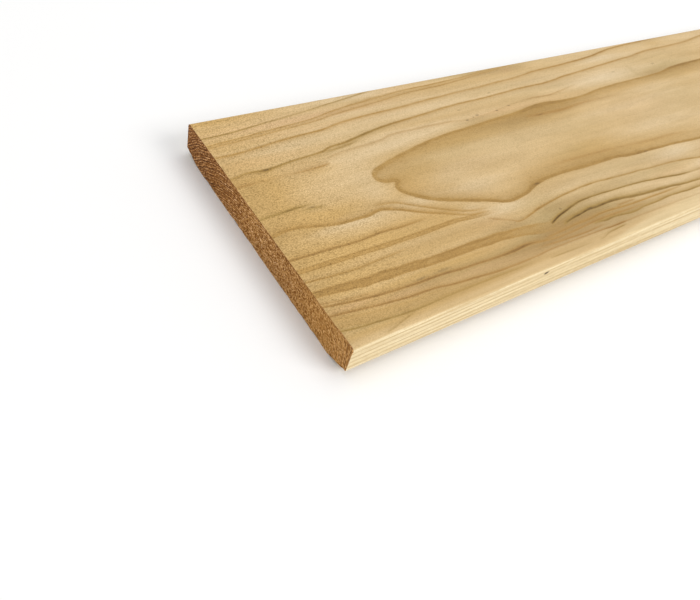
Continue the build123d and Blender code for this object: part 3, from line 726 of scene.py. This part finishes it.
class Nodes:
    """Short names for building a node tree."""

    def __init__(self, material):
        material.use_nodes = True
        self.tree = material.node_tree
        self.tree.nodes.clear()
        self.x = 0
        self._obj = None

    def new(self, kind, **props):
        n = self.tree.nodes.new(kind)
        n.location = (self.x % 4000, -(self.x // 4000) * 300)
        self.x += 180
        for k2, v2 in props.items():
            setattr(n, k2, v2)
        return n

    def put(self, socket, value):
        if isinstance(value, bpy.types.NodeSocket):
            self.tree.links.new(value, socket)
        elif value is not None:
            socket.default_value = value

    def math(self, op, a, b=None, c=None, clamp=False):
        n = self.new("ShaderNodeMath", operation=op, use_clamp=clamp)
        for s, v in zip(n.inputs, (a, b, c)):
            self.put(s, v)
        return n.outputs[0]

    def add(self, a, b):
        return self.math("ADD", a, b)

    def mul(self, a, b):
        return self.math("MULTIPLY", a, b)

    def sub(self, a, b):
        return self.math("SUBTRACT", a, b)

    def attr(self, name):
        return self.new("ShaderNodeAttribute", attribute_name=name).outputs["Fac"]

    def attr3(self, name):
        a = self.new("ShaderNodeAttribute", attribute_name=name)
        n = self.new("ShaderNodeSeparateXYZ")
        self.put(n.inputs[0], a.outputs["Vector"])
        return n.outputs

    def map(self, value, a, b, c=0.0, d=1.0, kind="LINEAR", clamp=True):
        n = self.new("ShaderNodeMapRange", interpolation_type=kind, clamp=clamp)
        for s, v in zip(n.inputs, (value, a, b, c, d)):
            self.put(s, v)
        return n.outputs[0]

    def ramp(self, value, stops, mode="LINEAR"):
        n = self.new("ShaderNodeValToRGB")
        n.color_ramp.interpolation = mode
        el = n.color_ramp.elements
        while len(el) > 1:
            el.remove(el[0])
        el[0].position = stops[0][0]
        el[0].color = stops[0][1] if not isinstance(stops[0][1], float) else (stops[0][1],) * 3 + (1.0,)
        for p, c in stops[1:]:
            e = el.new(p)
            e.color = c if not isinstance(c, float) else (c, c, c, 1.0)
        self.put(n.inputs[0], value)
        return n.outputs[0]

    def mix(self, fac, a, b, blend="MIX"):
        n = self.new("ShaderNodeMix", data_type="RGBA", blend_type=blend)
        n.clamp_factor = True
        self.put(n.inputs[0], fac)
        self.put(n.inputs[6], a)
        self.put(n.inputs[7], b)
        return n.outputs[2]

    def vec(self, scale, offset=(0, 0, 0)):
        """Row coordinates in millimetres, scaled by so many features to the mm."""
        if self._obj is None:
            self._obj = self.new("ShaderNodeTexCoord").outputs["Object"]
        n = self.new("ShaderNodeMapping")
        self.put(n.inputs["Vector"], self._obj)
        n.inputs["Scale"].default_value = [1000.0 * s for s in scale]
        n.inputs["Location"].default_value = offset
        return n.outputs[0]

    def noise(self, vector, detail=2.0, rough=0.5, scale=1.0, distortion=0.0):
        n = self.new("ShaderNodeTexNoise")
        self.put(n.inputs["Vector"], vector)
        n.inputs["Scale"].default_value = scale
        n.inputs["Detail"].default_value = detail
        n.inputs["Roughness"].default_value = rough
        n.inputs["Distortion"].default_value = distortion
        return n.outputs["Fac"]

    def cells(self, vector):
        """Many small uneven cells, like cut pores: the distance from the middle of each, about 0.55 in
        the mean, and a value from 0 to 1 for each."""
        n = self.new("ShaderNodeTexVoronoi", feature="F1", voronoi_dimensions="3D")
        self.put(n.inputs["Vector"], vector)
        n.inputs["Scale"].default_value = 1.0
        sep = self.new("ShaderNodeSeparateXYZ")
        self.put(sep.inputs[0], n.outputs["Color"])
        return n.outputs["Distance"], sep.outputs[0]


def end_colour(g):
    """End grain: rings, resin canals and torn fibres. Returns its colour and its height."""
    arcs = g.attr3("arcs")

    def along_rings(outwards, around, offset):
        """Noise coordinates that follow the rings: so many features to the mm across and along them."""
        n = g.new("ShaderNodeCombineXYZ")
        g.put(n.inputs[0], g.mul(arcs[0], outwards))
        g.put(n.inputs[1], g.mul(arcs[1], around))
        g.put(n.inputs[2], g.math("MULTIPLY_ADD", arcs[2], 0.4, offset))
        return n.outputs[0]

    bend = g.noise(along_rings(0.16, 0.10, 3.0), 2.0, 0.5)
    slow = g.noise(along_rings(0.10, 0.045, 9.0), 2.0, 0.5)
    dash = g.noise(along_rings(1.25, 0.34, 15.0), 1.0, 0.5)
    fine, fine_of = g.cells(along_rings(1.90, 1.10, 21.0))
    dots, dots_of = g.cells(along_rings(1.70, 1.55, 33.0))
    across = g.map(g.attr("across"), 0.0, 145.0)

    # rings 3.4 mm apart with finer lines between them, clearest at the two sides, where they cross
    # the thickness
    ring_at = g.add(g.add(arcs[0], g.mul(g.sub(bend, 0.5), 3.4)), g.mul(g.sub(dash, 0.5), 1.3))
    fr = g.math("FRACT", g.mul(ring_at, 1.0 / 3.4))
    rings = g.ramp(fr, [(0.0, 0.0), (0.30, 0.0), (0.55, 0.25), (0.78, 0.9), (0.88, 1.0), (0.93, 0.4), (1.0, 0.0)])
    fr2 = g.math("FRACT", g.mul(ring_at, 1.0 / 1.42))
    hatch = g.ramp(fr2, [(0.0, 1.0), (0.24, 0.3), (0.30, 0.0), (0.8, 0.0), (1.0, 1.0)])
    light = g.ramp(fr2, [(0.0, 0.0), (0.25, 0.0), (0.45, 0.9), (0.60, 1.0), (0.78, 0.2), (1.0, 0.0)])
    clear = g.ramp(across, [(0.0, 0.45), (0.07, 0.42), (0.13, 0.12), (0.24, 0.05), (0.40, 0.12), (0.55, 0.26), (0.66, 0.55), (0.78, 0.72), (1.0, 0.80)])
    patchy = g.mul(clear, g.map(slow, 0.36, 0.60, 0.60, 1.0))
    base = g.ramp(across, [(0.0, srgb(203, 151, 86)), (0.10, srgb(194, 143, 78)), (0.32, srgb(177, 125, 63)), (0.55, srgb(176, 122, 57)), (0.66, srgb(168, 113, 50)), (0.80, srgb(150, 96, 38)), (1.0, srgb(141, 88, 36))])
    col = g.mix(g.mul(g.mul(rings, patchy), 0.62), base, srgb(100, 60, 28))
    broken = g.mul(g.map(fine_of, 0.10, 0.60, 0.50, 1.0), patchy)
    col = g.mix(g.mul(g.mul(hatch, broken), 0.96), col, srgb(66, 37, 18))
    streaky = g.mul(g.map(dots_of, 0.10, 0.70, 0.30, 1.0), patchy)
    col = g.mix(g.mul(g.mul(light, streaky), 0.88), col, srgb(228, 168, 104))
    # torn cells: short light dashes that follow the rings, with darker pits between them
    torn = g.ramp(across, [(0.0, 0.42), (0.10, 0.42), (0.20, 0.58), (0.29, 0.80), (0.38, 1.0), (0.64, 1.0), (0.75, 0.75), (1.0, 0.72)])
    torn = g.mul(torn, 1.85)
    col = g.mix(g.mul(g.map(dash, 0.52, 0.34, 0.0, 0.08), torn), col, srgb(104, 64, 30))
    col = g.mix(g.mul(g.map(dash, 0.54, 0.72, 0.0, 0.08), torn), col, srgb(238, 192, 134))
    tear = g.mul(g.sub(0.52, fine), g.math("MULTIPLY_ADD", fine_of, 2.0, 0.9))
    tear = g.add(tear, g.mul(g.sub(0.52, dots), g.math("MULTIPLY_ADD", dots_of, 1.4, 0.3)))
    # and close lines of cut fibres, broken up into short dashes
    fr3 = g.math("FRACT", g.mul(g.add(arcs[0], g.mul(g.sub(dash, 0.5), 1.6)), 1.0 / 1.06))
    close = g.math("PINGPONG", fr3, 0.5)
    closeness = g.ramp(across, [(0.0, 0.30), (0.20, 0.30), (0.32, 0.9), (0.66, 1.0), (0.75, 0.7), (1.0, 0.7)])
    tear = g.add(tear, g.mul(g.mul(g.sub(close, 0.25), closeness), 2.6))
    tear = g.math("MAXIMUM", g.math("MULTIPLY_ADD", tear, torn, 0.93), 0.36)
    toned = g.new("ShaderNodeCombineXYZ")
    for channel, amount in enumerate((0.74, 1.0, 1.62)):
        g.put(toned.inputs[channel], g.math("POWER", tear, amount))
    col = g.mix(1.0, col, toned.outputs[0], "MULTIPLY")
    # next to the near side the rings stand nearly upright, as a few thin dark lines
    height = g.attr("height")
    lean = g.math("MULTIPLY_ADD", height, -0.10, g.mul(across, 145.0))
    upright = g.math("FRACT", g.mul(g.add(g.add(lean, 8.0), g.mul(g.sub(bend, 0.5), 2.4)), 1.0 / 2.1))
    thin = g.ramp(upright, [(0.0, 0.0), (0.28, 0.0), (0.46, 1.0), (0.56, 0.8), (0.70, 0.0), (1.0, 0.0)])
    col = g.mix(g.mul(g.mul(thin, g.map(across, 0.055, 0.020)), 0.60), col, srgb(108, 66, 32))
    # painted shade: a dark line under the upper arris, where shadow falls; and paler torn fibres along the lower one
    col = g.mix(g.mul(g.map(height, T - 1.0, T - 0.2), 0.45), col, srgb(116, 74, 32))
    frayed = g.mul(g.map(height, 1.6, 0.3), g.map(dots_of, 0.5, 0.8))
    col = g.mix(g.mul(frayed, 0.6), col, srgb(232, 194, 142))
    relief = g.add(g.mul(fine, -0.4), g.add(g.mul(dash, 0.4), g.mul(g.mul(hatch, patchy), -0.3)))
    return col, relief


def face_material():
    mat = bpy.data.materials.new("pine_planed")
    g = Nodes(mat)
    # fibres: thin streaks along the board, and a fine grit of pores over them
    fibre = g.noise(g.vec((0.075, 1.5, 1.5)), 3.0, 0.6)
    fibre_mid = g.noise(g.vec((0.020, 0.42, 0.42), (6, 2, 9)), 3.0, 0.55)
    grit = g.noise(g.vec((1.15, 2.1, 2.1), (3, 1, 2)), 1.0, 0.5)
    cells, cell_of = g.cells(g.vec((1.3, 1.9, 1.9), (5, 3, 8)))
    mottle = g.noise(g.vec((0.26, 0.48, 0.48), (2, 8, 4)), 3.0, 0.65)
    cloud = g.noise(g.vec((0.035, 0.085, 0.085), (12, 3, 7)), 3.0, 0.6)
    broad = g.noise(g.vec((0.009, 0.10, 0.10), (7, 3, 1)), 3.0, 0.55)
    wob = g.noise(g.vec((0.10, 0.40, 0.40), (5, 5, 8)), 3.0, 0.6)
    wobble = g.mul(g.sub(wob, 0.5), 1.5)
    uneven = g.noise(g.vec((0.14, 0.5, 0.5), (11, 3, 6)), 2.0, 0.6)
    strength = g.map(uneven, 0.25, 0.75, 0.78, 1.20)

    left, total, tinted = None, None, None
    for i, layer in enumerate(LAYERS):
        sep = g.attr3(f"layer_{i}")
        shape = PROFILE[layer["kind"]]
        lo, hi = shape[0][0], shape[-1][0]
        shift = 0.10 if layer["kind"] == "tongue" else 0.30
        t = g.map(g.add(sep[0], g.mul(wobble, shift)), lo, hi)
        prof = g.ramp(t, [((p - lo) / (hi - lo), v) for p, v in shape])
        p = g.mul(g.mul(prof, sep[1]), strength)
        tint = g.mul(p, sep[2])
        rest_of = g.math("SUBTRACT", 1.0, p, clamp=True)
        left = rest_of if left is None else g.mul(left, rest_of)
        total = p if total is None else g.add(total, p)
        tinted = tint if tinted is None else g.add(tinted, tint)
    top = g.attr("top")
    late = g.mul(g.sub(1.0, left), top)
    tint = g.math("DIVIDE", tinted, g.math("MAXIMUM", total, 0.001))

    # the same rings on the edges and the underside, from their phase
    ph = g.add(g.attr("phase"), g.mul(wobble, 0.10))
    fr = g.math("FRACT", g.add(ph, 20.0))
    whole = g.math("FLOOR", g.add(ph, 20.0))
    vary = g.new("ShaderNodeTexWhiteNoise", noise_dimensions="1D")
    g.put(vary.inputs["W"], whole)
    vary = vary.outputs["Value"]
    low = g.ramp(fr, [(0.0, 0.55), (0.04, 0.12), (0.1, 0.0), (0.5, 0.04), (0.74, 0.18), (0.88, 0.5), (0.96, 0.66), (1.0, 0.55)])
    low = g.mul(low, g.map(vary, 0.0, 1.0, 0.6, 1.0))
    under = g.mul(low, g.sub(1.0, top))

    # earlywood and its slow changes of tone
    tones = g.attr3("tone_a")
    early = g.ramp(broad, [(0.30, face(208, 177, 125)), (0.5, face(213, 183, 133)), (0.70, face(218, 190, 144))])
    early = g.mix(g.mul(g.mul(tones[0], 0.90), top), early, face(201, 164, 101))
    early = g.mix(g.mul(g.mul(tones[2], 0.80), top), early, face(210, 170, 122))
    early = g.mix(g.mul(g.mul(tones[1], 0.90), top), early, face(224, 201, 162))
    dull = g.attr3("tone_b")
    early = g.mix(g.mul(g.mul(dull[0], 0.85), top), early, face(188, 163, 112))
    early = g.mix(g.mul(g.mul(dull[1], 0.90), top), early, face(170, 138, 86))
    early = g.mix(g.mul(dull[2], 0.90), early, face(229, 206, 160))
    # fine lines of tone within the rings, which follow the figure
    lines_at = g.new("ShaderNodeCombineXYZ")
    g.put(lines_at.inputs[0], g.mul(g.add(g.attr("phase"), g.mul(wobble, 0.05)), 6.5))
    g.put(lines_at.inputs[1], g.mul(g.attr("along"), 0.014))
    g.put(lines_at.inputs[2], g.mul(g.attr("across"), 0.10))
    bands = g.noise(lines_at.outputs[0], 3.0, 0.62)
    wood = early
    # latewood, from brown through gold to olive
    c1 = g.ramp(tint, [(0.0, face(173, 133, 73)), (0.5, face(179, 140, 76)), (1.0, face(167, 134, 70))])
    c2 = g.ramp(tint, [(0.0, face(112, 78, 32)), (0.5, face(130, 94, 40)), (1.0, face(102, 73, 24))])
    wood = g.mix(g.map(late, 0.0, 0.46), wood, c1)
    wood = g.mix(g.map(late, 0.42, 1.0), wood, c2)
    wood = g.mix(g.mul(under, 0.9), wood, face(172, 134, 80))
    # fibres, mottling and grit over both, as a change of shade: the darker, the warmer. The pores
    # show most at the shown end.
    pores = g.ramp(g.map(g.attr("along"), 0.0, 1800.0), [(0.0, 1.0), (0.018, 0.88), (0.03, 0.60), (0.045, 0.46), (0.09, 0.40), (0.15, 0.34), (1.0, 0.30)])
    pores = g.mul(pores, g.ramp(g.map(g.attr("across"), 0.0, 145.0), [(0.0, 0.35), (0.03, 0.38), (0.06, 0.62), (0.20, 0.88), (0.3, 1.0), (1.0, 1.0)]))
    shade = g.mul(g.sub(0.55, cells), g.math("MULTIPLY_ADD", cell_of, 0.9, 0.45))
    shade = g.add(shade, g.mul(g.sub(fibre, 0.5), 0.32))
    shade = g.mul(g.add(shade, g.mul(g.sub(mottle, 0.5), 0.12)), pores)
    shade = g.add(shade, g.mul(g.sub(fibre_mid, 0.5), 0.16))
    shade = g.add(shade, g.mul(g.mul(g.sub(bands, 0.5), 0.26), top))
    shade = g.add(shade, g.mul(g.sub(cloud, 0.5), 0.24))
    tinted = g.new("ShaderNodeCombineXYZ")
    for channel, amount in enumerate((0.92, 1.0, 1.28)):
        g.put(tinted.inputs[channel], g.math("MULTIPLY_ADD", shade, amount, 1.0))
    wood = g.mix(1.0, wood, tinted.outputs[0], "MULTIPLY")

    # the long edges are pale sapwood with fine straight streaks; their paleness is partly painted light, strongest on
    # the near edge, which faces the key light
    edge_streak = g.noise(g.vec((0.008, 0.75, 0.75), (2, 4, 6)), 3.0, 0.6)
    pale = g.ramp(edge_streak, [(0.34, srgb(206, 180, 130)), (0.45, srgb(224, 201, 154)), (0.55, srgb(231, 210, 165)), (0.66, srgb(238, 222, 184))])
    pale = g.mix(g.mul(low, 0.35), pale, srgb(190, 158, 104))
    pale = g.mix(g.map(fibre, 0.50, 0.32, 0.0, 0.34), pale, srgb(186, 158, 106))
    pale = g.mix(g.map(mottle, 0.50, 0.30, 0.0, 0.24), pale, srgb(190, 166, 120))
    pale = g.mix(g.map(mottle, 0.52, 0.72, 0.0, 0.24), pale, srgb(250, 238, 208))
    pale = g.mix(g.map(grit, 0.50, 0.34, 0.0, 0.24), pale, srgb(176, 148, 98))
    # crisp lines 3 mm apart, which climb a little along the edge and fade away from the shown end
    climb = g.math("MULTIPLY_ADD", g.attr("along"), -0.035, g.attr("height"))
    climb = g.add(g.mul(climb, 1.0 / 3.0), g.mul(g.sub(wob, 0.5), 0.16))
    comb = g.ramp(g.math("FRACT", g.add(climb, 30.0)), [(0.0, 1.0), (0.10, 0.7), (0.18, 0.0), (0.40, 0.0), (0.46, 0.35), (0.52, 0.0), (0.84, 0.0), (0.93, 0.7), (1.0, 1.0)])
    glow = g.ramp(g.math("FRACT", g.add(climb, 30.0)), [(0.0, 0.0), (0.20, 0.0), (0.30, 1.0), (0.38, 0.9), (0.45, 0.2), (0.52, 0.9), (0.66, 1.0), (0.80, 0.0), (1.0, 0.0)])
    reach = g.ramp(g.map(g.attr("along"), 0.0, 600.0), [(0.0, 1.0), (0.12, 1.0), (0.20, 0.75), (0.30, 0.35), (1.0, 0.30)])
    reach = g.mul(reach, g.map(edge_streak, 0.35, 0.55, 0.45, 1.0))
    pale = g.mix(g.mul(g.mul(comb, reach), 0.62), pale, srgb(196, 164, 114))
    pale = g.mix(g.mul(g.mul(glow, reach), 0.40), pale, srgb(255, 240, 204))
    pale = g.mix(g.map(cells, 0.62, 0.95, 0.0, 0.30), pale, srgb(186, 158, 110))
    # pale in full on the near edge and only in part on the far one: sapwood, plus painted light that makes the near
    # side brighter than the far
    side = g.math("MAXIMUM", g.attr("edge"), g.mul(g.attr("far_edge"), 0.55))
    wood = g.mix(side, wood, pale)

    # small dark specks: resin canals and a tiny knot on the near edge
    sp = g.attr3("speck")
    d = g.math("SQRT", g.add(g.mul(sp[0], sp[0]), g.mul(sp[1], sp[1])))
    d = g.add(d, g.mul(g.sub(mottle, 0.5), 1.2))
    wood = g.mix(g.mul(g.map(d, 1.2, 0.6), sp[2]), wood, srgb(78, 56, 30))

    # the bevelled bit of the sawn edge shows end grain
    ec, eh = end_colour(g)
    cutm = g.map(g.add(g.attr("cut"), g.mul(g.sub(mottle, 0.5), 0.5)), 0.35, 0.6)
    wood = g.mix(cutm, wood, ec)

    bsdf = g.new("ShaderNodeBsdfPrincipled")
    g.put(bsdf.inputs["Base Color"], wood)
    rough = g.map(grit, 0.2, 0.8, 0.54, 0.68)
    g.put(bsdf.inputs["Roughness"], rough)
    bsdf.inputs["Specular IOR Level"].default_value = 0.3
    height = g.add(g.mul(fibre, 0.5), g.add(g.mul(grit, 0.45), g.mul(mottle, 0.2)))
    bump = g.new("ShaderNodeBump")
    bump.inputs["Strength"].default_value = 0.30
    bump.inputs["Distance"].default_value = 0.00014
    g.put(bump.inputs["Height"], height)
    g.put(bsdf.inputs["Normal"], bump.outputs[0])
    out = g.new("ShaderNodeOutputMaterial")
    g.put(out.inputs["Surface"], bsdf.outputs[0])
    return mat


def end_material():
    mat = bpy.data.materials.new("pine_end_grain")
    g = Nodes(mat)
    col, height = end_colour(g)
    bsdf = g.new("ShaderNodeBsdfPrincipled")
    g.put(bsdf.inputs["Base Color"], col)
    bsdf.inputs["Specular IOR Level"].default_value = 0.15
    bsdf.inputs["Roughness"].default_value = 0.86
    bump = g.new("ShaderNodeBump")
    bump.inputs["Strength"].default_value = 0.4
    bump.inputs["Distance"].default_value = 0.0004
    g.put(bump.inputs["Height"], height)
    g.put(bsdf.inputs["Normal"], bump.outputs[0])
    out = g.new("ShaderNodeOutputMaterial")
    g.put(out.inputs["Surface"], bsdf.outputs[0])
    return mat


mesh.materials.append(face_material())
mesh.materials.append(end_material())
mesh.polygons.foreach_set("material_index", np.array([0] * n_skin + [1] * (len(mesh.polygons) - n_skin), np.int32))

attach(board, "root")
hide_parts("board")

# ---------------------------------------------------------------------------
# Floor, light and camera
# ---------------------------------------------------------------------------
floor_mesh = bpy.data.meshes.new("floor")
s = 14.0
floor_mesh.from_pydata([(-s, -s, 0), (s, -s, 0), (s, s, 0), (-s, s, 0)], [], [(0, 1, 2, 3)])
floor = bpy.data.objects.new("floor", floor_mesh)
scene.collection.objects.link(floor)
fmat = bpy.data.materials.new("pale_floor")
fmat.use_nodes = True
fb = fmat.node_tree.nodes["Principled BSDF"]
fb.inputs["Base Color"].default_value = (0.90, 0.90, 0.90, 1)
fb.inputs["Roughness"].default_value = 0.85
fb.inputs["Specular IOR Level"].default_value = 0.1
floor_mesh.materials.append(fmat)

world = bpy.data.worlds.new("studio")
scene.world = world
world.use_nodes = True
world.node_tree.nodes["Background"].inputs["Color"].default_value = (1.0, 1.0, 1.0, 1)
world.node_tree.nodes["Background"].inputs["Strength"].default_value = 0.62


def area(name, place, aim, size, power, colour=(1, 1, 1)):
    data = bpy.data.lights.new(name, "AREA")
    data.shape = "RECTANGLE"
    data.size, data.size_y = size
    data.energy = power
    data.color = colour
    o = bpy.data.objects.new(name, data)
    o.location = place
    o.rotation_euler = (Vector(aim) - Vector(place)).to_track_quat("-Z", "Y").to_euler()
    scene.collection.objects.link(o)
    return o


area("key", (0.6, -2.4, 2.2), (-0.5, 0.0, 0.0), (2.0, 1.6), 62.0, (1.0, 0.985, 0.96))
area("top", (-0.2, 0.5, 2.8), (-0.2, 0.0, 0.0), (2.6, 2.0), 26.0)

cam_data = bpy.data.cameras.new("camera")
cam = bpy.data.objects.new("camera", cam_data)
scene.collection.objects.link(cam)
cam_data.sensor_fit = "HORIZONTAL"
cam_data.sensor_width = 36.0
cam_data.lens = 36.0 * 683.05 / 700.0
cam_data.clip_start = 0.01
cam_data.clip_end = 60.0
# place, then the camera's right, up and back axes
CAM = ((-1.02532, -0.17438, 0.22355), (0.812355, -0.539262, 0.221981), (0.301512, 0.714216, 0.631654), (-0.499169, -0.446197, 0.742791))
rot = Matrix((CAM[1], CAM[2], CAM[3])).transposed()
cam.matrix_world = Matrix.Translation(Vector(CAM[0])) @ rot.to_4x4()
scene.camera = cam
